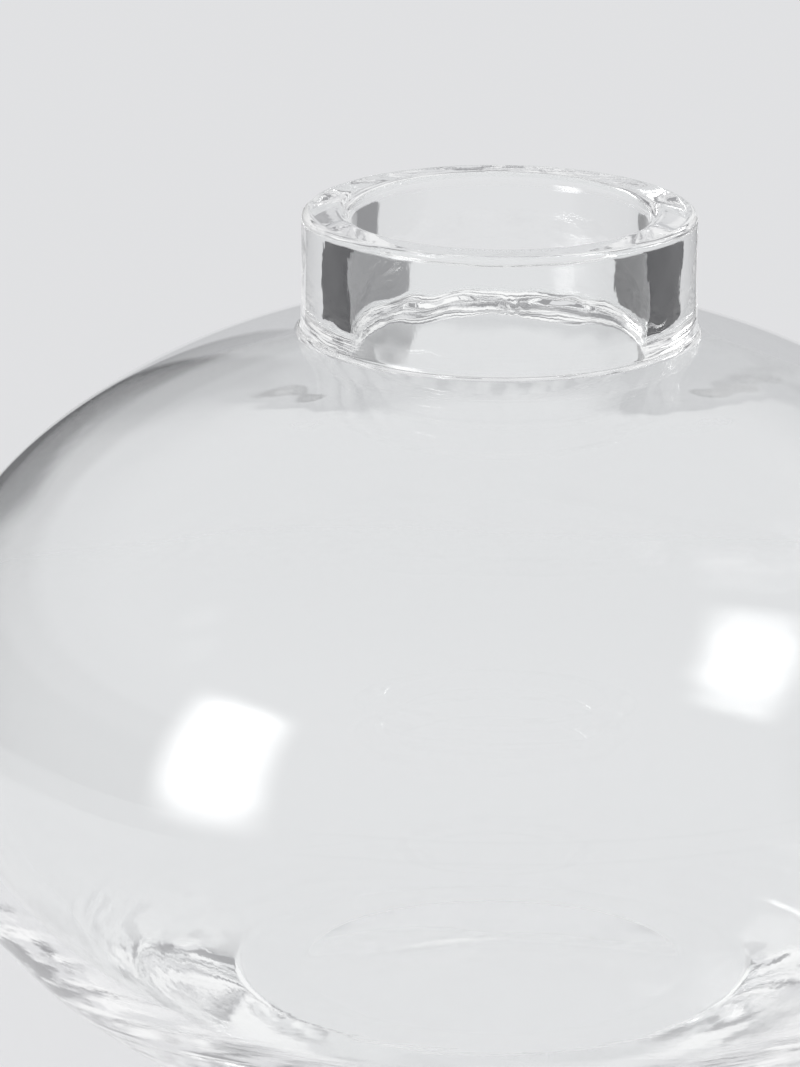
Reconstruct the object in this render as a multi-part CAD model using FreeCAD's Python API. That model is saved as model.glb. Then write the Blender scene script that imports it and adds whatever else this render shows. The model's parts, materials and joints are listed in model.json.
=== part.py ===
"""Clear hand blown glass vase: a squat bulb with a short, very thick collar for a neck and a heavy base.

The vase stands on z = 0 with its axis on +Z. Its glass is drawn as one closed profile, turned about the axis,
and then parted on level planes where the hot glass was joined:

    base_pad      the heavy disc that the bubble stands on, with its ground foot ring and shallow punt
    blown_bulb    the blown bubble, thin at its widest, with the thick inside floor
    neck_collar   the thick ring laid on the shoulder, with its fire polished rim
"""

import FreeCAD
import Part

import math
import os

# Sizes in millimetres. Radii are measured from the vase's axis and heights from the table.

# The bulb's outside
TOTAL_HEIGHT = 180.0
BULB_RADIUS = 120.0
WAIST_HEIGHT = 76.0  # where the bulb is widest
FOOT_RADIUS = 52.5  # where the bulb's curve reaches the table

# The collar
COLLAR_HEIGHT = 25.0
MOUTH_RADIUS = 30.0
COLLAR_WALL = 10.0
COLLAR_FLARE = 1.8  # how much the collar widens where it meets the shoulder
FLARE_HEIGHT = 3.0  # how far up the collar the flare reaches

# The hollow
HOLLOW_WAIST_HEIGHT = 79.0  # where the hollow is widest
WAIST_WALL = 3.6  # glass at the bulb's widest
SHOULDER_WALL = 3.4  # glass that the collar stands on, at the mouth
FLOOR_RADIUS = 78.0  # the edge of the inside floor
FLOOR_HEIGHT = 20.0  # the inside floor at its edge
FLOOR_DOME = 1.5  # how much the floor rises towards the axis

# The underside
FOOT_RING_WIDTH = 13.0
PUNT_DEPTH = 2.6

# Where the base pad was joined
PAD_HEIGHT = 9.0

# Fire polished, tooled and ground edges
RIM_OUTER_ROUND = 1.8
RIM_INNER_ROUND = 2.8
MOUTH_FOOT_ROUND = 2.4
FLOOR_EDGE_ROUND = 50.0
FOOT_OUTER_ROUND = 4.0
FOOT_INNER_ROUND = 1.5

# Worked out from the sizes above
COLLAR_RADIUS = MOUTH_RADIUS + COLLAR_WALL
COLLAR_FOOT_RADIUS = COLLAR_RADIUS + COLLAR_FLARE
COLLAR_FOOT_HEIGHT = TOTAL_HEIGHT - COLLAR_HEIGHT
CEILING_HEIGHT = COLLAR_FOOT_HEIGHT - SHOULDER_WALL
HOLLOW_RADIUS = BULB_RADIUS - WAIST_WALL
PUNT_RADIUS = FOOT_RADIUS - FOOT_RING_WIDTH

EDGE_MATCH = 0.01  # how near an edge's circle has to be to the one asked for
ROUND_SHARE = 0.45  # the most of a wall that one of its two rounded edges may take


def at(radius, height):
    """A point of the profile, which lies in the half plane y = 0."""
    return FreeCAD.Vector(radius, 0, height)


def line(start, end):
    """A straight edge of the profile."""
    return Part.LineSegment(start, end).toShape()


def quarter_bulge(half_width, waist_height, end):
    """The stretch of an ellipse from its widest to the end point, above or below it.

    The ellipse is centred on the axis at the waist's height, and is as tall as it has to be to pass the end.
    """
    rise = abs(end.z - waist_height)
    turn = math.acos(end.x / half_width)
    half_height = rise / math.sin(turn)
    if end.z < waist_height:
        half_height = -half_height
    side = at(half_width, waist_height)
    crown = at(0, waist_height + half_height)
    centre = at(0, waist_height)
    if half_width > abs(half_height):
        return Part.Ellipse(side, crown, centre).toShape(0, turn)
    return Part.Ellipse(crown, side, centre).toShape(math.pi / 2 - turn, math.pi / 2)


def dome_arc(edge, rise):
    """The round of a shallow dome, from its edge to its crown on the axis."""
    sphere_radius = (edge.x**2 + rise**2) / (2 * rise)
    half_way = edge.x / 2
    half_way_rise = rise - sphere_radius + math.sqrt(sphere_radius**2 - half_way**2)
    return Part.Arc(edge, at(half_way, edge.z + half_way_rise), at(0, edge.z + rise)).toShape()


def flare_arc(foot, top):
    """The sweep of the collar's side into its foot, which leaves the upright side smoothly."""
    out = foot.x - top.x
    down = top.z - foot.z
    sweep_radius = (out**2 + down**2) / (2 * out)
    half_turn = math.asin(down / sweep_radius) / 2
    half_out = sweep_radius * (1 - math.cos(half_turn))
    half_down = sweep_radius * math.sin(half_turn)
    return Part.Arc(top, at(top.x + half_out, top.z - half_down), foot).toShape()


def glass_profile():
    """The closed outline of the glass, from the punt round the outside, over the rim and down the inside."""
    punt_edge = at(PUNT_RADIUS, 0)
    foot_edge = at(FOOT_RADIUS, 0)
    collar_foot = at(COLLAR_FOOT_RADIUS, COLLAR_FOOT_HEIGHT)
    flare_top = at(COLLAR_RADIUS, COLLAR_FOOT_HEIGHT + FLARE_HEIGHT)
    rim_outside = at(COLLAR_RADIUS, TOTAL_HEIGHT)
    rim_inside = at(MOUTH_RADIUS, TOTAL_HEIGHT)
    mouth_foot = at(MOUTH_RADIUS, CEILING_HEIGHT)
    floor_edge = at(FLOOR_RADIUS, FLOOR_HEIGHT)
    return [
        dome_arc(punt_edge, PUNT_DEPTH),
        line(punt_edge, foot_edge),
        quarter_bulge(BULB_RADIUS, WAIST_HEIGHT, foot_edge),
        quarter_bulge(BULB_RADIUS, WAIST_HEIGHT, collar_foot),
        flare_arc(collar_foot, flare_top),
        line(flare_top, rim_outside),
        line(rim_outside, rim_inside),
        line(rim_inside, mouth_foot),
        quarter_bulge(HOLLOW_RADIUS, HOLLOW_WAIST_HEIGHT, mouth_foot),
        quarter_bulge(HOLLOW_RADIUS, HOLLOW_WAIST_HEIGHT, floor_edge),
        dome_arc(floor_edge, FLOOR_DOME),
        line(at(0, FLOOR_HEIGHT + FLOOR_DOME), at(0, PUNT_DEPTH)),
    ]


def turned(edges):
    """The solid that a closed profile sweeps out about the axis."""
    wire = Part.Wire(Part.__sortEdges__(edges))
    return Part.Face(wire).revolve(at(0, 0), FreeCAD.Vector(0, 0, 1), 360)


def rounded(solid, radius, height, size):
    """The solid with its circular edge of that radius at that height rounded off."""
    edges = []
    for edge in solid.Edges:
        if edge.Degenerated or not isinstance(edge.Curve, Part.Circle):
            continue
        circle = edge.Curve
        if abs(circle.Radius - radius) < EDGE_MATCH and abs(circle.Center.z - height) < EDGE_MATCH:
            edges.append(edge)
    if not edges:
        raise ValueError(f"no round edge of radius {radius} at height {height}")
    return solid.makeFillet(size, edges)


def whole_vase():
    """All of the glass in one solid, with its edges softened."""
    vase = turned(glass_profile())
    rim_limit = ROUND_SHARE * COLLAR_WALL
    foot_limit = ROUND_SHARE * FOOT_RING_WIDTH
    vase = rounded(vase, COLLAR_RADIUS, TOTAL_HEIGHT, min(RIM_OUTER_ROUND, rim_limit))
    vase = rounded(vase, MOUTH_RADIUS, TOTAL_HEIGHT, min(RIM_INNER_ROUND, rim_limit))
    vase = rounded(vase, MOUTH_RADIUS, CEILING_HEIGHT, min(MOUTH_FOOT_ROUND, SHOULDER_WALL))
    vase = rounded(vase, FLOOR_RADIUS, FLOOR_HEIGHT, FLOOR_EDGE_ROUND)
    vase = rounded(vase, FOOT_RADIUS, 0, min(FOOT_OUTER_ROUND, foot_limit))
    return rounded(vase, PUNT_RADIUS, 0, min(FOOT_INNER_ROUND, foot_limit))


def between(solid, bottom, top):
    """The part of the solid between two heights, which has to be in one piece."""
    reach = 2 * (BULB_RADIUS + TOTAL_HEIGHT)
    band = Part.makeBox(reach, reach, top - bottom, FreeCAD.Vector(-reach / 2, -reach / 2, bottom))
    found = solid.common(band).Solids
    if len(found) != 1:
        raise ValueError(f"{len(found)} solids between heights {bottom} and {top}")
    return found[0]


def main():
    vase = whole_vase()
    above = 2 * TOTAL_HEIGHT
    pieces = {
        "base_pad": between(vase, -PAD_HEIGHT, PAD_HEIGHT),
        "blown_bulb": between(vase, PAD_HEIGHT, COLLAR_FOOT_HEIGHT),
        "neck_collar": between(vase, COLLAR_FOOT_HEIGHT, above),
    }
    os.makedirs("parts", exist_ok=True)
    for name, piece in pieces.items():
        box = piece.optimalBoundingBox()
        heights = f"z {box.ZMin:.2f} to {box.ZMax:.2f}"
        print(f"{name}: {piece.Volume / 1000:.1f} cm3, radius {box.XMax:.2f}, {heights}")
        piece.exportStep(f"parts/{name}.step")


main()
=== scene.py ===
"""Looks of a clear hand blown glass vase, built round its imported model.

The glass is one skin, turned from an outline and then marked by hand: tool ripples on the collar, rings round
the base, soft lobes in the wall. The skin is parted into the three pieces of the model, which share its
points and its normals along their seams, so that the joins don't show.
"""

import json
import math

import bpy
import numpy as np
from bpy.props import FloatProperty, FloatVectorProperty, IntProperty, PointerProperty
from mathutils import Matrix, Vector


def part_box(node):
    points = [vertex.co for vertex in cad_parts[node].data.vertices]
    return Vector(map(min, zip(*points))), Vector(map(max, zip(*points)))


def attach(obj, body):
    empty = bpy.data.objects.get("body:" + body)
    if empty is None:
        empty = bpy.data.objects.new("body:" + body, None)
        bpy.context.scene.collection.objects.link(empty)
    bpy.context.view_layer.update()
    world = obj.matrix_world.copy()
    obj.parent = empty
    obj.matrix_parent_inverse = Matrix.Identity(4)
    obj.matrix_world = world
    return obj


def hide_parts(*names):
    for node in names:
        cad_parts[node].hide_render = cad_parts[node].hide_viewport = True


bl_info = {
    "name": "Hand Blown Vase",
    "version": (1, 0, 0),
    "blender": (4, 5, 0),
    "location": "3D View > Sidebar > Vase",
    "description": "Builds a clear glass vase round its packed model, with its studio",
    "category": "Object",
}

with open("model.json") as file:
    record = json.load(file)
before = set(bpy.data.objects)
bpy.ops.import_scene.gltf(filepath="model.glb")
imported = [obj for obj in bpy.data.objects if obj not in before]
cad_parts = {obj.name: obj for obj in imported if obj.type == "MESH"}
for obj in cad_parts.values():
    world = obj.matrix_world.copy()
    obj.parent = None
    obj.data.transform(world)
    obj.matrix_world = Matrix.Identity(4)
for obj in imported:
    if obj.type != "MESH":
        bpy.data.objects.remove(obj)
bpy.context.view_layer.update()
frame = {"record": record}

MM = 0.001
TURN = 2 * math.pi
UP = Vector((0, 0, 1))
BODY = "root"

PAD_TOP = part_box("base_pad")[1].z
COLLAR_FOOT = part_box("neck_collar")[0].z
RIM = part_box("neck_collar")[1].z
BULB_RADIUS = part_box("blown_bulb")[1].x
MOUTH_RADIUS = next(m["dims"]["r_mm"] for m in frame["record"]["mounts"] if m["name"] == "mouth") * MM


# Sizes and colours -------------------------------------------------------------------------------


def length(name, description, default):
    """A size in metres that a user may change."""
    return FloatProperty(name=name, description=description, default=default, unit="LENGTH", precision=5)


def share(name, description, default, top=1.0):
    """A plain number from nought up."""
    return FloatProperty(name=name, description=description, default=default, min=0.0, max=top)


def colour(name, description, default):
    """A colour in linear light."""
    return FloatVectorProperty(name=name, description=description, default=default, size=3, subtype="COLOR")


class VaseShape(bpy.types.PropertyGroup):
    """The outline of the glass. Radii are from the axis and heights from the table."""

    bulb_radius: length("Bulb radius", "Radius at the bulb's widest", BULB_RADIUS)
    waist_height: length("Waist height", "Height of the bulb's widest", 76 * MM)
    foot_radius: length("Foot radius", "Where the bulb's curve reaches the table", 52.5 * MM)
    foot_ring: length("Foot ring", "Width of the ground ring that the vase stands on", 13 * MM)
    punt_depth: length("Punt depth", "Rise of the hollow under the base", 2.6 * MM)
    collar_wall: length("Collar wall", "Thickness of the collar", 10 * MM)
    collar_flare: length("Collar flare", "How far out the round at the collar's foot reaches", 1.8 * MM)
    collar_waist: length("Collar waist", "How far the collar's side draws in", 0.1 * MM)
    hollow_waist: length("Hollow waist", "Height of the hollow's widest", 79 * MM)
    waist_wall: length("Waist wall", "Thickness at the bulb's widest", 3.6 * MM)
    shoulder_wall: length("Shoulder wall", "Thickness under the collar", 3.4 * MM)
    floor_radius: length("Floor radius", "Edge of the inside floor", 78 * MM)
    floor_height: length("Floor height", "Height of the inside floor at its edge", 20 * MM)
    floor_dome: length("Floor dome", "Rise of the inside floor towards the axis", 1.5 * MM)
    around: IntProperty(name="Steps around", description="Points in each ring of the skin", default=288)


class SoftEdges(bpy.types.PropertyGroup):
    """Radii of the fire polished, tooled and ground edges."""

    foot_inner: length("Foot, inside", "Edge between the punt and the foot ring", 1.5 * MM)
    foot_outer: length("Foot, outside", "Edge between the foot ring and the bulb", 4 * MM)
    collar_foot: length("Collar foot", "Hollow between the shoulder and the collar", 1.0 * MM)
    rim_outer: length("Rim, outside", "Outer edge of the rim", 1.8 * MM)
    rim_inner: length("Rim, inside", "Inner edge of the rim", 2.8 * MM)
    mouth_foot: length("Mouth foot", "Edge where the mouth opens into the bulb", 1.2 * MM)
    floor_edge: length("Floor edge", "Hollow at the edge of the inside floor", 50 * MM)


class HandMarks(bpy.types.PropertyGroup):
    """Heights of the marks that hand work leaves in the glass."""

    lobes: length("Lobes", "Slow swells in the bulb's wall", 0.16 * MM)
    wall_drift: length("Wall drift", "Uneven thickness of the bubble, on its inside", 0.11 * MM)
    collar_ripples: length("Collar ripples", "Tool ripples outside the collar", 0.012 * MM)
    bore_ripples: length("Bore ripples", "Tool ripples inside the mouth", 0.025 * MM)
    base_rings: length("Base rings", "Rings that the block leaves round the base", 0.006 * MM)
    shoulder_ring: length("Shoulder ring", "Depth of the hollows pressed into the shoulder", 0.55 * MM)
    mouth_sway: length("Mouth sway", "How far the far side of the mouth's foot sags", 1.6 * MM)
    mouth_knot: length("Mouth knot", "Knot where the mouth's foot was closed", 0.35 * MM)
    seed: IntProperty(name="Seed", description="Picks another set of marks", default=7)


class GlassFinish(bpy.types.PropertyGroup):
    """The look of the glass."""

    tint: colour("Tint", "Colour of the light that passes a face of the glass", (0.995, 1.0, 0.998))
    ior: FloatProperty(
        name="IOR", description="How strongly the glass bends light", default=1.5, min=1.0, max=2.5
    )
    shadow: share("Light let through", "How much lamp light passes each face of the vase", 1.0)


class StudioLook(bpy.types.PropertyGroup):
    """The floor, the room and the softbox, with the light and shade that are painted into the floor and the
    room.
    """

    pale: colour("Pale", "Floor and background", (0.750, 0.754, 0.767))
    # Painted light: the floor round the vase is paler, which lifts the vase's own shadow there.
    near: colour("Near", "The floor close to the vase", (0.772, 0.775, 0.788))
    # Painted light and shade: caustic glints and dull patches on the floor, and glints and dull streaks in
    # the room, seen only by light that turned about in the glass.
    glint: colour("Glint", "Bright spots that light meets deep in the glass", (1.0, 1.0, 1.0))
    gloom: colour("Gloom", "Dull spots that light meets deep in the glass", (0.32, 0.32, 0.33))
    # Painted shade: the sweep's grey rise and the room's dim and unlit parts, put into the world for light
    # that passed the glass.
    rise: colour("Rise", "The sweep where it rises behind the vase", (0.56, 0.565, 0.58))
    left_side: colour("Left side", "The room left of the sweep, and its other dim parts", (0.29, 0.29, 0.30))
    right_side: colour("Right side", "The room right of the sweep, through the vase", (0.17, 0.17, 0.175))
    above: colour("Above", "The room above the sweep, through the vase", (0.16, 0.16, 0.165))
    dark: colour("Dark", "The unlit room that the glass mirrors", (0.10, 0.10, 0.105))
    lamp: share("Softbox", "Brightness of the softbox", 8.0, 100.0)
    table_radius: length("Table radius", "How far the floor is lit, as the glass shows it", 0.43)


PROPERTIES = {
    "vase_shape": VaseShape,
    "vase_edges": SoftEdges,
    "vase_marks": HandMarks,
    "vase_finish": GlassFinish,
    "vase_studio": StudioLook,
}


# The outline -------------------------------------------------------------------------------------

OUTLINE_STEP = 0.1 * MM  # how finely the outline is drawn before its rows are picked
HEADING_REACH = 3  # steps over which the direction of a stretch's end is taken
LEAST_BEND = 8  # fewest points in a rounded corner, with its two ends


def straight(start, end):
    """Points of a straight stretch."""
    start, end = np.array(start), np.array(end)
    count = max(int(np.linalg.norm(end - start) / OUTLINE_STEP), 2)
    return start + np.linspace(0, 1, count)[:, None] * (end - start)


def bulge(half_width, waist, through, end_radius=None):
    """Points of the ellipse about the bulb's middle that passes a point, from its widest to an end radius."""
    half_height = (through[1] - waist) / math.sqrt(1 - (through[0] / half_width) ** 2)
    turn = math.acos((through[0] if end_radius is None else end_radius) / half_width)
    steps = np.linspace(0, turn, int(half_width * turn / OUTLINE_STEP))
    return np.stack([half_width * np.cos(steps), waist + half_height * np.sin(steps)], 1)


def dome(radius, edge_height, rise):
    """Points of a shallow dome, from its edge to its crown on the axis."""
    sphere = (radius**2 + rise**2) / (2 * rise)
    across = np.linspace(radius, 0, int(radius / OUTLINE_STEP))
    return np.stack([across, edge_height + rise - sphere + np.sqrt(sphere**2 - across**2)], 1)


def collar_side(shape, foot):
    """Points of the collar's outside from its foot to the rim, drawn in a little on the way."""
    height = RIM - foot
    up = np.linspace(0, 1, int(height / OUTLINE_STEP))
    drawn_in = shape.collar_waist * np.sin(math.pi * up) ** 2
    return np.stack([MOUTH_RADIUS + shape.collar_wall - drawn_in, foot + up * height], 1)


def along(points):
    """Distance along the points from the first one."""
    return np.concatenate([[0], np.cumsum(np.linalg.norm(np.diff(points, axis=0), axis=1))])


def heading(points, index):
    """The direction of travel at the points' first or last end."""
    step = points[HEADING_REACH] - points[0] if index == 0 else points[-1] - points[-1 - HEADING_REACH]
    return step / np.linalg.norm(step)


def rounded_join(first, second, radius):
    """Two stretches as one, with the corner between them rounded by a curve that is close to an arc."""
    turn = math.acos(np.clip(heading(first, -1) @ heading(second, 0), -1, 1))
    trim = radius * math.tan(turn / 2)
    way_1, way_2 = along(first), along(second)
    first = first[way_1 < way_1[-1] - trim]
    second = second[way_2 > trim]
    handle = 4 / 3 * math.tan(turn / 4) * radius
    start, end = first[-1], second[0]
    pull_1, pull_2 = start + heading(first, -1) * handle, end - heading(second, 0) * handle
    t = np.linspace(0, 1, max(int(radius * turn / OUTLINE_STEP), LEAST_BEND))[1:-1, None]
    bend = (1 - t) ** 3 * start + 3 * (1 - t) ** 2 * t * pull_1 + 3 * (1 - t) * t**2 * pull_2 + t**3 * end
    return np.concatenate([first, bend, second])


def glass_outline(shape, edges):
    """The outline of all the glass, from the middle of the punt, over the rim, to the middle of the floor."""
    collar_radius = MOUTH_RADIUS + shape.collar_wall
    punt_radius = shape.foot_radius - shape.foot_ring
    foot = (shape.foot_radius, 0.0)
    collar_foot = (collar_radius + shape.collar_flare, COLLAR_FOOT)
    ceiling = (MOUTH_RADIUS, COLLAR_FOOT - shape.shoulder_wall)
    floor_edge = (shape.floor_radius, shape.floor_height)
    lower = bulge(shape.bulb_radius, shape.waist_height, foot)[::-1]
    upper = bulge(shape.bulb_radius, shape.waist_height, collar_foot, collar_radius)[1:]
    inside, middle = shape.bulb_radius - shape.waist_wall, shape.hollow_waist
    hollow = np.concatenate([bulge(inside, middle, ceiling)[::-1], bulge(inside, middle, floor_edge)[1:]])
    stretches = [
        (straight((punt_radius, 0.0), foot), edges.foot_inner),
        (np.concatenate([lower, upper]), edges.foot_outer),
        (collar_side(shape, upper[-1][1]), edges.collar_foot),
        (straight((collar_radius, RIM), (MOUTH_RADIUS, RIM)), edges.rim_outer),
        (straight((MOUTH_RADIUS, RIM), ceiling), edges.rim_inner),
        (hollow, edges.mouth_foot),
        (dome(shape.floor_radius, shape.floor_height, shape.floor_dome), edges.floor_edge),
    ]
    outline = dome(punt_radius, 0.0, shape.punt_depth)[::-1]
    for stretch, radius in stretches:
        outline = rounded_join(outline, stretch, radius)
    return outline


# The skin ----------------------------------------------------------------------------------------

FINE_ROW, RING_ROW, PLAIN_ROW = 0.55 * MM, 1.1 * MM, 2.1 * MM  # apart on the collar, the base and the belly
FINE_BELOW, FINE_FADE = 6 * MM, 3 * MM  # rows get finer from this far under the collar's foot
RING_TOP, RING_FADE = 0.6, 8 * MM  # the base's rows end at this share of the waist's height
RING_INNER = 30 * MM  # and start at this radius
RIM_SLACK = 0.01 * MM  # within this of its level, the outline has reached the rim
TINY = 1e-12  # keeps a division safe where two points meet

# Where the skin is parted: its start, the pad's top, the collar's foot outside and inside, and its end.
PUNT_MIDDLE, PAD_SEAM, OUTER_SEAM, INNER_SEAM, FLOOR_MIDDLE = range(5)


def crossing(outline, height, rising):
    """Distance along the outline at which it passes a height on its way up or down."""
    z, way = outline[:, 1], along(outline)
    passes = (z[:-1] < height) & (z[1:] >= height) if rising else (z[:-1] > height) & (z[1:] <= height)
    found = np.nonzero(passes)[0]
    pick = found[-1] if rising else found[0]
    part = (height - z[pick]) / (z[pick + 1] - z[pick])
    return way[pick] + part * (way[pick + 1] - way[pick])


def seam_crossings(outline, way):
    """Distances along the outline to the pad's top, and to the collar's foot outside and inside."""
    widest = int(np.argmax(outline[:, 0]))
    top = int(np.argmax(outline[:, 1] > RIM - RIM_SLACK))
    pad = crossing(outline[:widest], PAD_TOP, True)
    outer = crossing(outline[:top], COLLAR_FOOT, True)
    inner = way[top] + crossing(outline[top:], COLLAR_FOOT, False)
    return pad, outer, inner


def row_spacing(outline, shape):
    """How far apart rows should be at each point: close round the collar and the base, wide on the belly."""
    radius, height = outline[:, 0], outline[:, 1]
    near_collar = np.clip((height - (COLLAR_FOOT - FINE_BELOW)) / FINE_FADE, 0, 1)
    near_base = np.clip((shape.waist_height * RING_TOP - height) / RING_FADE, 0, 1) * (radius > RING_INNER)
    spacing = PLAIN_ROW + near_base * (RING_ROW - PLAIN_ROW)
    return spacing + near_collar * (FINE_ROW - spacing)


class Skin:
    """The glass's whole surface as rows of rings, with the rows at which the pieces part."""

    def __init__(self, shape, edges, marks):
        outline = glass_outline(shape, edges)
        way = along(outline)
        self.parts, self.places = self.rows(outline, way, shape)
        self.radius = np.interp(self.places, way, outline[:, 0])
        self.height = np.interp(self.places, way, outline[:, 1])
        self.radius[[0, -1]] = 0
        self.turns = np.arange(shape.around) * TURN / shape.around
        self.points, self.normals = self.raised(hand_marks(self, shape, marks))

    @staticmethod
    def rows(outline, way, shape):
        """The numbers of the rows at which the pieces part, and each row's distance along the outline."""
        wanted = np.concatenate([[0], np.cumsum(np.diff(way) / row_spacing(outline, shape)[1:])])
        stations = [0, *seam_crossings(outline, way), way[-1]]
        parts, places = [0], [0.0]
        for low, high in zip(stations[:-1], stations[1:]):
            first, last = np.interp([low, high], way, wanted)
            count = max(int(round(last - first)), 2)
            places += list(np.interp(np.linspace(first, last, count + 1)[1:], wanted, way))
            parts.append(len(places) - 1)
        return parts, np.array(places)

    def raised(self, marks):
        """The rings' points and normals with the marks raised on them."""
        slope_r, slope_z = np.gradient(self.radius, self.places), np.gradient(self.height, self.places)
        size = np.hypot(slope_r, slope_z)
        out_r, out_z = (slope_z / size)[:, None], (-slope_r / size)[:, None]
        radius = self.radius[:, None] + out_r * marks
        height = self.height[:, None] + out_z * marks
        x, y = radius * np.cos(self.turns), radius * np.sin(self.turns)
        points = np.stack([x, y, height], 2)
        up = np.gradient(points, self.places, axis=0)
        step = self.turns[1] - self.turns[0]
        around = (np.roll(points, -1, axis=1) - np.roll(points, 1, axis=1)) / (2 * step)
        normals = np.cross(around, up)
        normals[0], normals[-1] = (0, 0, -1), (0, 0, 1)
        lengths = np.linalg.norm(normals, axis=2, keepdims=True)
        return points, normals / np.maximum(lengths, TINY)


# Marks of the hand -------------------------------------------------------------------------------

# For each kind of mark: how many waves are mixed, how many times they go round, and how many go to a metre.
LOBE_WAVES = 8, (1, 4), (2, 9)
DRIFT_WAVES = 12, (1, 5), (2, 14)
COLLAR_WAVES = 24, (3, 22), (5, 90)
BORE_WAVES = 30, (4, 26), (5, 80)
BASE_WAVES = 24, (2, 16), (130, 330)
KNOT_WAVES = 16, (30, 70), (60, 260)
PRESSED_WAVES = 16, (12, 50), (60, 200)

# Where the marks fade out.
AXIS_FADE = 25 * MM  # radius within which they fade towards the axis
TABLE_FADE = 1 * MM, 14 * MM  # heights, so that the foot stands flat
COLLAR_BELOW, COLLAR_ABOVE = 3 * MM, 2 * MM  # from the collar's foot, where its marks fade in
RIM_ABOVE, RIM_FADE = 1 * MM, 3 * MM  # where they would end over the rim, and the height of that fade
BORE_SLACK = 1 * MM  # the bore's marks reach this far past the mouth's radius
BULB_FADE = 30 * MM  # under the collar's foot
BASE_FADE = 48 * MM, 60 * MM  # radii
BASE_TOP, BASE_TOP_FADE = 52 * MM, 30 * MM  # where the rings end, and how far under it they are full

# The hollows that the tool pressed into the shoulder, and the sagged edge and the knot at the mouth's foot.
FRONT, BACK = -TURN / 4, TURN / 4
RING_RADIUS, RING_WIDTH = 58 * MM, 5.5 * MM  # of the hollows' middle, and how far they reach from it
RING_BELOW = 20 * MM, 12 * MM  # under the collar's foot, where the hollows fade in
PRESSED = (-0.75, 0.22), (0.85, 0.35)  # middle and reach of each hollow, in radians from the front
PRESSED_GRAIN = 0.05  # share of a hollow's depth by which its floor is uneven
SWAY_WAVES, SWAY_REACH = 6.0, 0.75  # sags in a full turn, and how far from the back they reach, in radians
SWAY_SQUARE = 4  # how squarely they end there
SWAY_BELOW = 9 * MM, 2 * MM  # under the bore's lower end, where the sags fade in
SWAY_ABOVE, SWAY_FADE = 12 * MM, 8 * MM  # over it, where they fade out
KNOT_TURN, KNOT_REACH = -0.08, 0.12  # from the back, in radians


def waves(skin, random, count, around, per_metre):
    """A mix of waves over the skin, each a whole number of waves around, with a height of about one."""
    total = np.zeros((len(skin.places), len(skin.turns)))
    for _ in range(count):
        whole = random.integers(around[0], around[1] + 1)
        rate = random.uniform(*per_metre) * TURN * random.choice([-1, 1])
        total += np.cos(whole * skin.turns + rate * skin.places[:, None] + random.uniform(0, TURN))
    return total / math.sqrt(count)


def fade(values, low, high):
    """From nought at low to one at high, smoothly."""
    t = np.clip((values - low) / (high - low), 0, 1)
    return t * t * (3 - 2 * t)


def bell(values, middle, reach, power=2):
    """One at the middle, and soon nought beyond the reach."""
    return np.exp(-(((values - middle) / reach) ** power))


def turns_from(skin, place):
    """How far each point of a ring is turned from a place on it, from minus to plus half a turn."""
    return (skin.turns - place + math.pi) % TURN - math.pi


def hand_marks(skin, shape, marks):
    """How far each point of the skin is raised by the maker's hand."""
    random = np.random.default_rng(marks.seed)
    radius, height = skin.radius[:, None], skin.height[:, None]
    inside = (np.arange(len(skin.places)) >= skin.parts[INNER_SEAM])[:, None].astype(float)
    outside = 1 - inside
    off_axis = fade(radius, 0, AXIS_FADE)
    off_table = np.where(inside > 0, 1, fade(height, *TABLE_FADE))
    collar = fade(height, COLLAR_FOOT - COLLAR_BELOW, COLLAR_FOOT + COLLAR_ABOVE)
    collar *= fade(RIM + RIM_ABOVE - height, 0, RIM_FADE)
    bore = collar * (radius < MOUTH_RADIUS + BORE_SLACK)
    bulb = fade(COLLAR_FOOT - height, 0, BULB_FADE)
    base = fade(radius, *BASE_FADE) * fade(BASE_TOP - height, 0, BASE_TOP_FADE)
    raised = marks.lobes * waves(skin, random, *LOBE_WAVES) * bulb * outside
    raised += marks.wall_drift * waves(skin, random, *DRIFT_WAVES) * bulb * inside
    raised += marks.collar_ripples * waves(skin, random, *COLLAR_WAVES) * (collar - bore)
    raised += marks.bore_ripples * waves(skin, random, *BORE_WAVES) * bore
    raised += marks.base_rings * waves(skin, random, *BASE_WAVES) * base
    raised += mouth_foot_marks(skin, shape, marks, random) * inside
    raised -= shoulder_marks(skin, marks, random) * outside
    return raised * off_axis * off_table


def shoulder_marks(skin, marks, random):
    """The two hollows that the tool pressed into the shoulder in front of the collar."""
    radius, height = skin.radius[:, None], skin.height[:, None]
    ring = bell(radius, RING_RADIUS, RING_WIDTH)
    ring *= fade(height, COLLAR_FOOT - RING_BELOW[0], COLLAR_FOOT - RING_BELOW[1])
    pressed = sum(bell(turns_from(skin, FRONT), middle, reach) for middle, reach in PRESSED)
    grain = waves(skin, random, *PRESSED_WAVES)
    return marks.shoulder_ring * ring * pressed * (1 + PRESSED_GRAIN * grain)


def mouth_foot_marks(skin, shape, marks, random):
    """The wavy edge at the far side of the mouth's foot, with the knot where it was closed."""
    height = skin.height[:, None]
    ceiling = COLLAR_FOOT - shape.shoulder_wall
    near = fade(height, ceiling - SWAY_BELOW[0], ceiling - SWAY_BELOW[1])
    near *= fade(ceiling + SWAY_ABOVE - height, 0, SWAY_FADE)
    turn = turns_from(skin, BACK)
    sway = (1 - np.cos(turn * SWAY_WAVES)) / 2 * bell(turn, 0, SWAY_REACH, SWAY_SQUARE)
    grain = waves(skin, random, *KNOT_WAVES)
    return near * (marks.mouth_sway * sway + marks.mouth_knot * bell(turn, KNOT_TURN, KNOT_REACH) * grain)


# The pieces --------------------------------------------------------------------------------------

GLASS_FACE, SEAM_FACE = 0, 1  # the material slots of a piece


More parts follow.
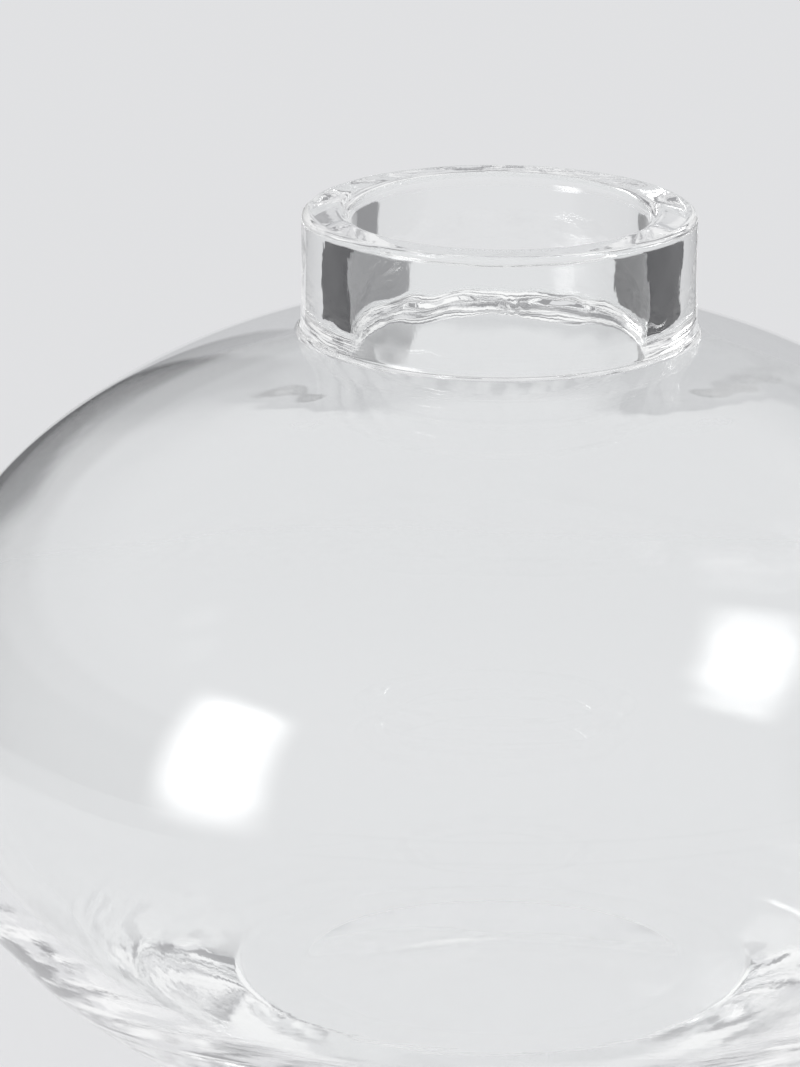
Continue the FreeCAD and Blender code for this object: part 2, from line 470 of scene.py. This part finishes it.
class PieceMesh:
    """Gathers points, faces, corner normals and slots for one piece."""

    def __init__(self, skin):
        self.skin = skin
        self.points, self.normals = [], []
        self.faces, self.corner_normals, self.slots = [], [], []
        self.count = 0

    def add_rows(self, first, last):
        """The skin's rows between two of its parts. Returns the point numbers of the two end rings."""
        around = len(self.skin.turns)
        rings = []
        for row in range(self.skin.parts[first], self.skin.parts[last] + 1):
            on_axis = self.skin.radius[row] == 0
            size = 1 if on_axis else around
            self.points.append(self.skin.points[row, :size])
            self.normals.append(self.skin.normals[row, :size])
            rings.append(self.count + (np.zeros(around, int) if on_axis else np.arange(around)))
            self.count += size
        normals = np.concatenate(self.normals)
        for low, high in zip(rings[:-1], rings[1:]):
            self.add_strip(low, high, normals, GLASS_FACE)
        return rings[0], rings[-1]

    def add_strip(self, low, high, normals, slot):
        """Faces between two rings. A ring that is a single point makes triangles."""
        low_next, high_next = np.roll(low, -1), np.roll(high, -1)
        corners = [low, low_next, high_next, high]
        if low[0] == low[1]:
            corners = [low, high_next, high]
        elif high[0] == high[1]:
            corners = [low, low_next, high]
        faces = np.stack(corners, 1)
        self.faces.append(faces)
        facing = normals[faces] if isinstance(normals, np.ndarray) else np.tile(normals, (*faces.shape, 1))
        self.corner_normals.append(facing.reshape(-1, 3))
        self.slots += [slot] * len(faces)

    def add_washer(self, outer, inner, upward):
        """A level seam face between two rings."""
        pair = (outer, inner) if upward else (inner, outer)
        self.add_strip(*pair, (0.0, 0.0, 1.0 if upward else -1.0), SEAM_FACE)

    def add_disc(self, ring, upward):
        """A level seam face over a whole ring."""
        self.points.append(np.concatenate(self.points)[ring].mean(0)[None])
        self.normals.append(np.zeros((1, 3)))
        centre = np.full(len(ring), self.count)
        self.count += 1
        self.add_washer(ring, centre, upward)

    def finished(self, name, node, finish):
        """Makes the piece an object that rides on the model's body in place of its node."""
        mesh = bpy.data.meshes.new(name)
        faces = [face for block in self.faces for face in block.tolist()]
        mesh.from_pydata(np.concatenate(self.points).tolist(), [], faces)
        mesh.polygons.foreach_set("material_index", self.slots)
        mesh.polygons.foreach_set("use_smooth", [True] * len(faces))
        mesh.normals_split_custom_set(np.concatenate(self.corner_normals).tolist())
        mesh.materials.append(clear_glass(finish))
        mesh.materials.append(fused_seam())
        mesh.validate()
        need(mesh.polygons, name)
        piece = bpy.data.objects.new(name, mesh)
        bpy.context.collection.objects.link(piece)
        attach(piece, BODY)
        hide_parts(node)


SKINS = {}


def shared_skin(scene):
    """The skin that all three pieces are parted from, made once."""
    if "skin" not in SKINS:
        SKINS["skin"] = Skin(scene.vase_shape, scene.vase_edges, scene.vase_marks)
    return SKINS["skin"]


def need(done, what):
    """Stops the script where something could not be made."""
    if not done:
        raise RuntimeError(f"{what} could not be made")


# Nodes -------------------------------------------------------------------------------------------


def feed(tree, value, inlet):
    """Links a socket to an inlet, or sets a plain number, vector or colour on it."""
    if isinstance(value, bpy.types.NodeSocket):
        tree.links.new(value, inlet)
    elif inlet.type == "RGBA":
        inlet.default_value = (*value, 1)
    else:
        inlet.default_value = value


def put(tree, kind, inlets=None, **settings):
    """A new node with its settings, and with what goes into its inlets."""
    node = tree.nodes.new(kind)
    for name, value in settings.items():
        setattr(node, name, value)
    for name, value in (inlets or {}).items():
        feed(tree, value, node.inputs[name])
    return node


def reckoned(tree, operation, *values):
    """A socket with the result of a sum on others."""
    return put(tree, "ShaderNodeMath", dict(enumerate(values)), operation=operation).outputs["Value"]


def times(tree, first, *factors):
    """A socket with the product of others."""
    for factor in factors:
        first = reckoned(tree, "MULTIPLY", first, factor)
    return first


def plus(tree, first, second):
    """A socket with the sum of two others."""
    return reckoned(tree, "ADD", first, second)


def either(tree, first, second):
    """A socket with the larger of two others."""
    return reckoned(tree, "MAXIMUM", first, second)


def over(tree, value, limit):
    """A socket that is one where a value is over a limit."""
    return reckoned(tree, "GREATER_THAN", value, limit)


def under(tree, value, limit):
    """A socket that is one where a value is under a limit."""
    return reckoned(tree, "LESS_THAN", value, limit)


def smooth_range(tree, value, low, high):
    """A socket that goes smoothly from nought at low to one at high."""
    inlets = {"Value": value, "From Min": low, "From Max": high}
    return put(tree, "ShaderNodeMapRange", inlets, interpolation_type="SMOOTHSTEP").outputs["Result"]


def band(tree, value, rise, fall):
    """A socket that rises smoothly over one range of a value and falls over another."""
    return times(tree, smooth_range(tree, value, *rise), smooth_range(tree, value, *fall))


def mixed(tree, amount, first, second):
    """A socket with a mix of two colours, each a socket or a plain colour."""
    inlets = {"Factor": amount, "A": first, "B": second}
    return put(tree, "ShaderNodeMix", inlets, data_type="RGBA").outputs["Result"]


def noise(tree, place, scale, detail, stretch=None):
    """A socket with noise over a place, which may be stretched first."""
    if stretch:
        place = put(tree, "ShaderNodeMapping", {"Vector": place, "Scale": stretch}).outputs["Vector"]
    inlets = {"Vector": place, "Scale": scale, "Detail": detail}
    return put(tree, "ShaderNodeTexNoise", inlets).outputs["Fac"]


def parted(tree, place):
    """The three sockets of a place or direction."""
    return put(tree, "ShaderNodeSeparateXYZ", {"Vector": place}).outputs


def surfaced(tree, result, amount, first, second):
    """Gives a material a mix of two shaders as its surface."""
    both = put(tree, "ShaderNodeMixShader", {"Fac": amount, 1: first, 2: second})
    feed(tree, both.outputs["Shader"], result.inputs["Surface"])


def new_material(name):
    """An empty material with its node tree and its output node."""
    material = bpy.data.materials.new(name)
    material.use_nodes = True
    tree = material.node_tree
    tree.nodes.clear()
    return material, tree, put(tree, "ShaderNodeOutputMaterial")


# The glass ---------------------------------------------------------------------------------------

# What a material may change of the blown surface: scales of the noise, and depths as shares of the bump's.
BLOWN_SURFACE = {
    "Cord Scale": 55.0,
    "Breath Scale": 18.0,
    "Breath Depth": 0.012,
    "Tool Scale": 330.0,
    "Tool Depth": 2.0,
    "Block Scale": 1500.0,
    "Block Depth": 0.8,
}
LINE_DETAIL, BREATH_DETAIL = 3, 4
CORD_STRETCH, TOOL_STRETCH, BLOCK_STRETCH = (1, 1, 2.2), (1, 1, 0.4), (0.08, 0.08, 1)
TOOL_FADE = 4 * MM  # over the collar's foot
BLOCK_HEIGHTS = 50 * MM, 25 * MM  # where the block's marks fade in, going down
BREATH_LIMITS = 0.55, 0.8  # of the noise that makes the patches of breath

BUMP_STRENGTH, BUMP_HEIGHT = 0.25, 0.05 * MM
EDGE_SHADOW, EDGE_BLEND = 0.98, 0.35  # share of the light that passes a face seen edge on, and its reach
TRAPPED_AFTER = 11.5  # turns inside the glass after which light is let out, so that none is lost in the walls


def blown_surface():
    """Node group: cords, tool marks and block marks in a blown surface, and its faint patches of breath."""
    name = "blown_surface"
    if name in bpy.data.node_groups:
        return bpy.data.node_groups[name]
    group = bpy.data.node_groups.new(name, "ShaderNodeTree")
    for label, default in BLOWN_SURFACE.items():
        socket = group.interface.new_socket(label, in_out="INPUT", socket_type="NodeSocketFloat")
        socket.default_value = default
    for label in ("Height", "Roughness"):
        group.interface.new_socket(label, in_out="OUTPUT", socket_type="NodeSocketFloat")
    source = put(group, "NodeGroupInput").outputs
    place = put(group, "ShaderNodeTexCoord").outputs["Object"]
    height = parted(group, place)["Z"]
    on_collar = smooth_range(group, height, COLLAR_FOOT, COLLAR_FOOT + TOOL_FADE)
    on_base = smooth_range(group, height, *BLOCK_HEIGHTS)
    total = noise(group, place, source["Cord Scale"], LINE_DETAIL, CORD_STRETCH)
    for label, stretch, mask in (("Tool", TOOL_STRETCH, on_collar), ("Block", BLOCK_STRETCH, on_base)):
        lines = noise(group, place, source[label + " Scale"], LINE_DETAIL, stretch)
        total = plus(group, total, times(group, lines, mask, source[label + " Depth"]))
    breath = smooth_range(group, noise(group, place, source["Breath Scale"], BREATH_DETAIL), *BREATH_LIMITS)
    breath = times(group, breath, source["Breath Depth"])
    put(group, "NodeGroupOutput", {"Height": total, "Roughness": breath})
    return group


def clear_glass(finish):
    """Clear glass. Lamps shine through it, and leave a faint shadow with darker edges."""
    name = "blown_glass"
    if name in bpy.data.materials:
        return bpy.data.materials[name]
    material, tree, result = new_material(name)
    surface = put(tree, "ShaderNodeGroup", node_tree=blown_surface()).outputs
    bump = {"Strength": BUMP_STRENGTH, "Distance": BUMP_HEIGHT, "Height": surface["Height"]}
    plain = {"Base Color": finish.tint, "Metallic": 0, "Roughness": 0, "IOR": finish.ior}
    glass = put(tree, "ShaderNodeBsdfPrincipled", {**plain, "Transmission Weight": 1})
    feed(tree, surface["Roughness"], glass.inputs["Roughness"])
    feed(tree, put(tree, "ShaderNodeBump", bump).outputs["Normal"], glass.inputs["Normal"])
    edge = put(tree, "ShaderNodeLayerWeight", {"Blend": EDGE_BLEND}).outputs["Facing"]
    shade = mixed(tree, edge, (finish.shadow,) * 3, (finish.shadow * EDGE_SHADOW,) * 3)
    through = put(tree, "ShaderNodeBsdfTransparent", {"Color": shade})
    path = put(tree, "ShaderNodeLightPath").outputs
    lamp_or_floor = either(tree, path["Is Shadow Ray"], path["Is Diffuse Ray"])
    clear = either(tree, lamp_or_floor, over(tree, path["Ray Depth"], TRAPPED_AFTER))
    surfaced(tree, result, clear, glass.outputs["BSDF"], through.outputs["BSDF"])
    return material


def fused_seam():
    """The face where two gathers fused: nothing to see."""
    name = "fused_seam"
    if name in bpy.data.materials:
        return bpy.data.materials[name]
    material, tree, result = new_material(name)
    feed(tree, put(tree, "ShaderNodeBsdfTransparent").outputs["BSDF"], result.inputs["Surface"])
    return material


# The studio --------------------------------------------------------------------------------------


def angles(*degrees):
    """Angles in radians."""
    return tuple(math.radians(angle) for angle in degrees)


def levels(*degrees):
    """Angles over level as the heights of directions of length one."""
    return tuple(math.sin(math.radians(angle)) for angle in degrees)


CAMERA_DISTANCE, CAMERA_SIGHT = 2.5, 100
CAMERA_RISE = math.radians(13.94)  # over level, as seen from the middle of the rim
CAMERA_YAW, CAMERA_PITCH, CAMERA_ROLL = angles(0.45, 15.39, 0.41)
PICTURE_HEIGHT, FOCAL_LENGTH = 1067, 12809  # in pixels
SENSOR_HEIGHT = 24.0  # in millimetres, as the camera takes it

SOFTBOX_TURN = math.radians(-124)  # from +Y, clockwise from above
TO_SOFTBOX = Vector((math.sin(SOFTBOX_TURN), math.cos(SOFTBOX_TURN), 0))
ACROSS_SOFTBOX = TO_SOFTBOX.cross(UP)
SOFTBOX_REACH, SOFTBOX_WIDTH = 3.0, 1.65
SOFTBOX_LOW, SOFTBOX_HIGH = -0.48, 2.25
SOFT_SIDES, SOFT_LOW, SOFT_HIGH = 0.42, 0.22, 0.18  # share of the softbox over which each edge fades

FLOOR_GAP = 0.2 * MM  # under the vase
FLOOR_HALF = 20.0
FLOOR_FRONT = 0.45  # where the floor ends, so that the glass mirrors the softbox's foot past it
TABLE_FALL = 1.35  # times the table's radius at which the lit floor has faded out
PAINTED_LIGHT_REACH = 0.2, 0.43  # where the painted light that makes the floor paler round the vase ends

# The room, painted into the world for light that passed the glass, is told by the bearing and the height of a
# direction. Bearings are from +Y, clockwise from above.
SWEEP_LEFT, SWEEP_RIGHT, SWEEP_NEAR = angles(-8.2, 16, -26)  # edges of the pale sweep, as mirrored
THROUGH_LEFT, THROUGH_RIGHT, THROUGH_NEAR = angles(-5.2, 15.5, -8.7)  # the same, as seen through the vase
NEAR_RISE = levels(-10, -7)  # under this, close to the vase, the left edge is the near one
SWEEP_SOFT = math.radians(0.6)  # half the width over which an edge fades
SWEEP_BACK, BACK_SOFT = angles(115, 10)  # past this bearing the room is pale again
RISE_FOOT = levels(-6.5, -3.8)  # where the sweep starts to rise
RISE_TOP = levels(40, 26)  # where its grey ends
UNLIT_TOP = levels(15, 12)  # top of the darkest part of the room
DIM_TOP = levels(24, 21)  # top of the dim part over it
ABOVE_SWEEP = levels(3, 8)  # where the sweep ends at its top, as seen through the vase

# Limits between whole numbers of turns back and of faces passed, for light inside the glass.
NO_TURN, ONE_TURN, LOST_TURNS = 0.5, 1.5, 3.5
ONE_FACE, TWO_FACES = 1.5, 2.5

# Spots are painted glints and painted shade, told by noise: its limits for the bright and for the dull ones,
# and its scales.
SPOT_LIMITS = (0.57, 0.61), (0.47, 0.43)
FLOOR_GRAIN, ROOM_GRAIN = 26.0, 6.0
TANGLE_LIMITS, TANGLE_GRAIN = ((0.50, 0.53), (0.43, 0.40)), 3.0  # painted glints and dull streaks, for light that is lost in the glass
SPOT_DETAIL = 2
SPOTS_REACH, SPOTS_TURN = (0.07, 0.09), angles(25, 32)  # distance and bearing at which the painted spots start
WHITE = (1.0, 1.0, 1.0)

GLASS_BOUNCES, CLEAR_BOUNCES, FLOOR_BOUNCES = 32, 48, 2


def camera(scene):
    """The camera at the photograph's viewing angle, with a long lens."""
    data = bpy.data.cameras.new("camera")
    data.sensor_fit = "VERTICAL"
    data.sensor_height = SENSOR_HEIGHT
    data.lens = FOCAL_LENGTH * SENSOR_HEIGHT / PICTURE_HEIGHT
    data.clip_end = CAMERA_SIGHT
    eye = bpy.data.objects.new("camera", data)
    place = Matrix.Translation((0, -CAMERA_DISTANCE, RIM + CAMERA_DISTANCE * math.tan(CAMERA_RISE)))
    aim = Matrix.Rotation(CAMERA_YAW, 4, "Z") @ Matrix.Rotation(math.pi / 2 - CAMERA_PITCH, 4, "X")
    eye.matrix_world = place @ aim @ Matrix.Rotation(CAMERA_ROLL, 4, "Z")
    scene.collection.objects.link(eye)
    scene.camera = eye


def sheet(name, corners, material):
    """A flat four cornered stage object."""
    mesh = bpy.data.meshes.new(name)
    mesh.from_pydata([tuple(corner) for corner in corners], [], [(0, 1, 2, 3)])
    uv = mesh.uv_layers.new(name="UVMap")
    for spot, place in zip(uv.data, ((0, 0), (1, 0), (1, 1), (0, 1))):
        spot.uv = place
    mesh.materials.append(material)
    flat = bpy.data.objects.new(name, mesh)
    bpy.context.collection.objects.link(flat)
    return flat


def glass_masks(tree):
    """Sockets that are one for light that has gone through the glass in one way, and nought for other light.

    Mirrored light turned back once, with few faces passed. Crossed light went through the vase and never
    turned back. Deep light turned back more than once, and lost light so often that its way is a tangle.
    """
    path = put(tree, "ShaderNodeLightPath").outputs
    turns, faces = path["Glossy Depth"], path["Transmission Depth"]
    once = times(tree, over(tree, turns, NO_TURN), under(tree, turns, ONE_TURN))
    return {
        "mirrored": times(tree, once, under(tree, faces, TWO_FACES)),
        "crossed": times(tree, under(tree, turns, NO_TURN), over(tree, faces, ONE_FACE)),
        "deep": over(tree, turns, ONE_TURN),
        "lost": over(tree, turns, LOST_TURNS),
    }


def bearing_and_rise(tree, place):
    """Sockets with the bearing of a place or direction, and with its height."""
    split = parted(tree, place)
    return reckoned(tree, "ARCTAN2", split["X"], split["Y"]), split["Z"]


def to_a_side(tree, bearing):
    """A socket that is one to the left and to the right, and nought straight ahead."""
    return smooth_range(tree, reckoned(tree, "ABSOLUTE", bearing), *SPOTS_TURN)


def spots(tree, place, grain, limits):
    """Two sockets that are one in the bright and in the dull spots of a noise."""
    cloud = noise(tree, place, grain, SPOT_DETAIL)
    return [smooth_range(tree, cloud, *limit) for limit in limits]


def painted_glint_and_shade(tree, look, deep, where, place, grain, pale):
    """A pale tone with painted bright and dull spots, painted glints and painted shade, that only light which
    has turned about in thick glass sees.
    """
    bright, dull = spots(tree, place, grain, SPOT_LIMITS)
    tone = mixed(tree, times(tree, bright, where, deep), pale, look.glint)
    return mixed(tree, times(tree, dull, where, deep), tone, look.gloom)


def left_of(tree, bearing, edge):
    """A socket that is one to the left of an edge of the sweep."""
    return smooth_range(tree, bearing, edge + SWEEP_SOFT, edge - SWEEP_SOFT)


def right_of(tree, bearing, edge):
    """A socket that is one to the right of an edge of the sweep."""
    return smooth_range(tree, bearing, edge - SWEEP_SOFT, edge + SWEEP_SOFT)


def painted_room_tone(tree, look, direction):
    """The room as the glass shows it, all painted into the world: a pale sweep with painted shade that greys
    it as it rises, painted dark where it is unlit beside and above it, and painted glints and dull streaks.
    """
    masks = glass_masks(tree)
    mirrored, crossed, lost = masks["mirrored"], masks["crossed"], masks["lost"]
    bearing, rise = bearing_and_rise(tree, direction)
    ahead = band(tree, bearing, (-SWEEP_BACK - BACK_SOFT, -SWEEP_BACK + BACK_SOFT),
                 (SWEEP_BACK + BACK_SOFT, SWEEP_BACK - BACK_SOFT))
    low = times(tree, ahead, smooth_range(tree, rise, *UNLIT_TOP))
    dim = times(tree, ahead, smooth_range(tree, rise, *DIM_TOP))
    rising = band(tree, rise, RISE_FOOT, RISE_TOP)
    upper = smooth_range(tree, rise, *NEAR_RISE)
    left, through_left = [
        either(tree, times(tree, left_of(tree, bearing, far), upper), left_of(tree, bearing, near))
        for far, near in ((SWEEP_LEFT, SWEEP_NEAR), (THROUGH_LEFT, THROUGH_NEAR))
    ]
    aside = times(tree, mirrored, either(tree, left, right_of(tree, bearing, SWEEP_RIGHT)))
    through_right = right_of(tree, bearing, THROUGH_RIGHT)
    # Painted glints and dull streaks for light that is lost in the glass.
    bright, dull = spots(tree, direction, TANGLE_GRAIN, TANGLE_LIMITS)
    layers = (
        (times(tree, lost, bright), look.glint),
        (times(tree, lost, dull), look.left_side),
        (times(tree, either(tree, mirrored, crossed), ahead, rising), look.rise),
        (times(tree, aside, dim), look.left_side),
        (times(tree, aside, low), look.dark),
        (times(tree, crossed, through_left, low), look.left_side),
        (times(tree, crossed, through_right, low), look.right_side),
        (times(tree, crossed, ahead, smooth_range(tree, rise, *ABOVE_SWEEP)), look.above),
    )
    # Painted glints and painted shade for light that turned about in thick glass.
    tone = painted_glint_and_shade(tree, look, masks["deep"], to_a_side(tree, bearing), direction, ROOM_GRAIN, look.pale)
    for amount, laid_on in layers:
        tone = mixed(tree, amount, tone, laid_on)
    return tone


def floor_material(look):
    """Pale floor, painted paler round the vase, with painted caustic glints and painted shade that only light
    deep in the glass sees.

    Far from the vase it gives way to the room behind it, for light that the glass mirrored or let cross, and
    everywhere for light that is lost in the glass.
    """
    material, tree, result = new_material("studio_floor")
    masks = glass_masks(tree)
    place = put(tree, "ShaderNodeNewGeometry").outputs["Position"]
    distance = put(tree, "ShaderNodeVectorMath", {0: place}, operation="LENGTH").outputs["Value"]
    bearing, _ = bearing_and_rise(tree, place)
    beside = times(tree, smooth_range(tree, distance, *SPOTS_REACH), to_a_side(tree, bearing))
    # Painted light: paler round the vase, which lifts the vase's shadow there.
    pale = mixed(tree, smooth_range(tree, distance, *PAINTED_LIGHT_REACH), look.near, look.pale)
    # Painted caustic glints and painted shade on the floor beside the vase, seen only by light deep in the
    # glass.
    tone = painted_glint_and_shade(tree, look, masks["deep"], beside, place, FLOOR_GRAIN, pale)
    far = smooth_range(tree, distance, look.table_radius, look.table_radius * TABLE_FALL)
    gone = times(tree, far, either(tree, masks["mirrored"], masks["crossed"]))
    matt = put(tree, "ShaderNodeBsdfDiffuse", {"Color": tone})
    behind = put(tree, "ShaderNodeBsdfTransparent")
    surfaced(tree, result, either(tree, masks["lost"], gone), matt.outputs["BSDF"], behind.outputs["BSDF"])
    return material


def floor(look):
    """A wide flat floor that ends short of the softbox."""
    side, drop = ACROSS_SOFTBOX * FLOOR_HALF, UP * FLOOR_GAP
    near, far = TO_SOFTBOX * FLOOR_FRONT - drop, TO_SOFTBOX * -FLOOR_HALF - drop
    sheet("studio_floor", [near - side, near + side, far + side, far - side], floor_material(look))


def softbox_material(look):
    """A softbox, bright in its middle and soft at its edges."""
    material, tree, result = new_material("softbox")
    place = parted(tree, put(tree, "ShaderNodeTexCoord").outputs["UV"])
    sides = band(tree, place["X"], (0, SOFT_SIDES), (1, 1 - SOFT_SIDES))
    ends = band(tree, place["Y"], (0, SOFT_LOW), (1, 1 - SOFT_HIGH))
    glow = put(tree, "ShaderNodeEmission", {"Strength": look.lamp})
    around = put(tree, "ShaderNodeBsdfTransparent")
    surfaced(tree, result, times(tree, sides, ends), around.outputs["BSDF"], glow.outputs["Emission"])
    return material


def softbox(look):
    """A tall softbox beside the camera, facing the vase, seen only in the glass."""
    middle = TO_SOFTBOX * SOFTBOX_REACH
    half = ACROSS_SOFTBOX * SOFTBOX_WIDTH / 2
    low, high = UP * SOFTBOX_LOW, UP * SOFTBOX_HIGH
    corners = [middle - half + low, middle + half + low, middle + half + high, middle - half + high]
    box = sheet("softbox", corners, softbox_material(look))
    box.visible_camera = False
    box.visible_shadow = False
    box.visible_diffuse = False


def room(scene, look):
    """The world: white for the light that it sheds on the floor, and the painted room for all that is seen.
    """
    world = bpy.data.worlds.new("studio_room")
    world.use_nodes = True
    world.cycles.sampling_method = "NONE"  # picked as a lamp is, the room's light misses the glass's masks
    scene.world = world
    tree = world.node_tree
    tree.nodes.clear()
    path = put(tree, "ShaderNodeLightPath").outputs
    direction = put(tree, "ShaderNodeTexCoord").outputs["Generated"]
    tone = mixed(tree, path["Is Diffuse Ray"], painted_room_tone(tree, look, direction), WHITE)
    backdrop = put(tree, "ShaderNodeBackground", {"Color": tone})
    put(tree, "ShaderNodeOutputWorld", {"Surface": backdrop.outputs["Background"]})


def light_settings(scene):
    """Enough bounces for thick glass, and plain colour."""
    scene.view_settings.view_transform = "Standard"
    scene.cycles.max_bounces = GLASS_BOUNCES
    scene.cycles.glossy_bounces = GLASS_BOUNCES
    scene.cycles.transmission_bounces = GLASS_BOUNCES
    scene.cycles.transparent_max_bounces = CLEAR_BOUNCES
    scene.cycles.diffuse_bounces = FLOOR_BOUNCES
    scene.cycles.caustics_reflective = False
    scene.cycles.caustics_refractive = False
    scene.cycles.blur_glossy = 0
    scene.cycles.sample_clamp_indirect = 0


# Operators and panel -----------------------------------------------------------------------------


class VASE_OT_base_pad(bpy.types.Operator):
    """Make the heavy disc of glass under the bubble, with its foot ring and punt"""

    bl_idname = "vase.base_pad"
    bl_label = "Base Pad"

    def execute(self, context):
        mesh = PieceMesh(shared_skin(context.scene))
        _, seam = mesh.add_rows(PUNT_MIDDLE, PAD_SEAM)
        mesh.add_disc(seam, True)
        mesh.finished("glass_base_pad", "base_pad", context.scene.vase_finish)
        return {"FINISHED"}


class VASE_OT_blown_bulb(bpy.types.Operator):
    """Make the blown bubble with its thick inside floor"""

    bl_idname = "vase.blown_bulb"
    bl_label = "Blown Bulb"

    def execute(self, context):
        mesh = PieceMesh(shared_skin(context.scene))
        seam, shoulder = mesh.add_rows(PAD_SEAM, OUTER_SEAM)
        mouth, _ = mesh.add_rows(INNER_SEAM, FLOOR_MIDDLE)
        mesh.add_disc(seam, False)
        mesh.add_washer(shoulder, mouth, True)
        mesh.finished("glass_blown_bulb", "blown_bulb", context.scene.vase_finish)
        return {"FINISHED"}


class VASE_OT_neck_collar(bpy.types.Operator):
    """Make the thick collar with its fire polished rim"""

    bl_idname = "vase.neck_collar"
    bl_label = "Neck Collar"

    def execute(self, context):
        mesh = PieceMesh(shared_skin(context.scene))
        shoulder, mouth = mesh.add_rows(OUTER_SEAM, INNER_SEAM)
        mesh.add_washer(shoulder, mouth, False)
        mesh.finished("glass_neck_collar", "neck_collar", context.scene.vase_finish)
        return {"FINISHED"}


class VASE_OT_studio(bpy.types.Operator):
    """Set up the floor, the room, the softbox and the camera"""

    bl_idname = "vase.studio"
    bl_label = "Studio"

    def execute(self, context):
        scene = context.scene
        look = scene.vase_studio
        light_settings(scene)
        floor(look)
        softbox(look)
        room(scene, look)
        camera(scene)
        need(scene.camera, "the camera")
        return {"FINISHED"}


OPERATORS = (VASE_OT_base_pad, VASE_OT_blown_bulb, VASE_OT_neck_collar, VASE_OT_studio)


class VASE_PT_panel(bpy.types.Panel):
    """Lists the vase's pieces, sizes and colours"""

    bl_idname = "VASE_PT_panel"
    bl_label = "Hand Blown Vase"
    bl_space_type = "VIEW_3D"
    bl_region_type = "UI"
    bl_category = "Vase"

    def draw(self, context):
        for operator in OPERATORS:
            self.layout.operator(operator.bl_idname)
        for name, group in PROPERTIES.items():
            box = self.layout.box()
            for field in group.__annotations__:
                box.prop(getattr(context.scene, name), field)


def register():
    """Adds the sizes and colours, the operators and the panel."""
    for name, group in PROPERTIES.items():
        bpy.utils.register_class(group)
        setattr(bpy.types.Scene, name, PointerProperty(type=group))
    for operator in OPERATORS:
        bpy.utils.register_class(operator)
    bpy.utils.register_class(VASE_PT_panel)


def unregister():
    """Takes them away again, in the other order."""
    bpy.utils.unregister_class(VASE_PT_panel)
    for operator in reversed(OPERATORS):
        bpy.utils.unregister_class(operator)
    for name, group in reversed(PROPERTIES.items()):
        delattr(bpy.types.Scene, name)
        bpy.utils.unregister_class(group)


def main():
    """Makes the studio and the three pieces."""
    register()
    bpy.ops.vase.studio()
    bpy.ops.vase.base_pad()
    bpy.ops.vase.blown_bulb()
    bpy.ops.vase.neck_collar()


if __name__ == "__main__":
    main()
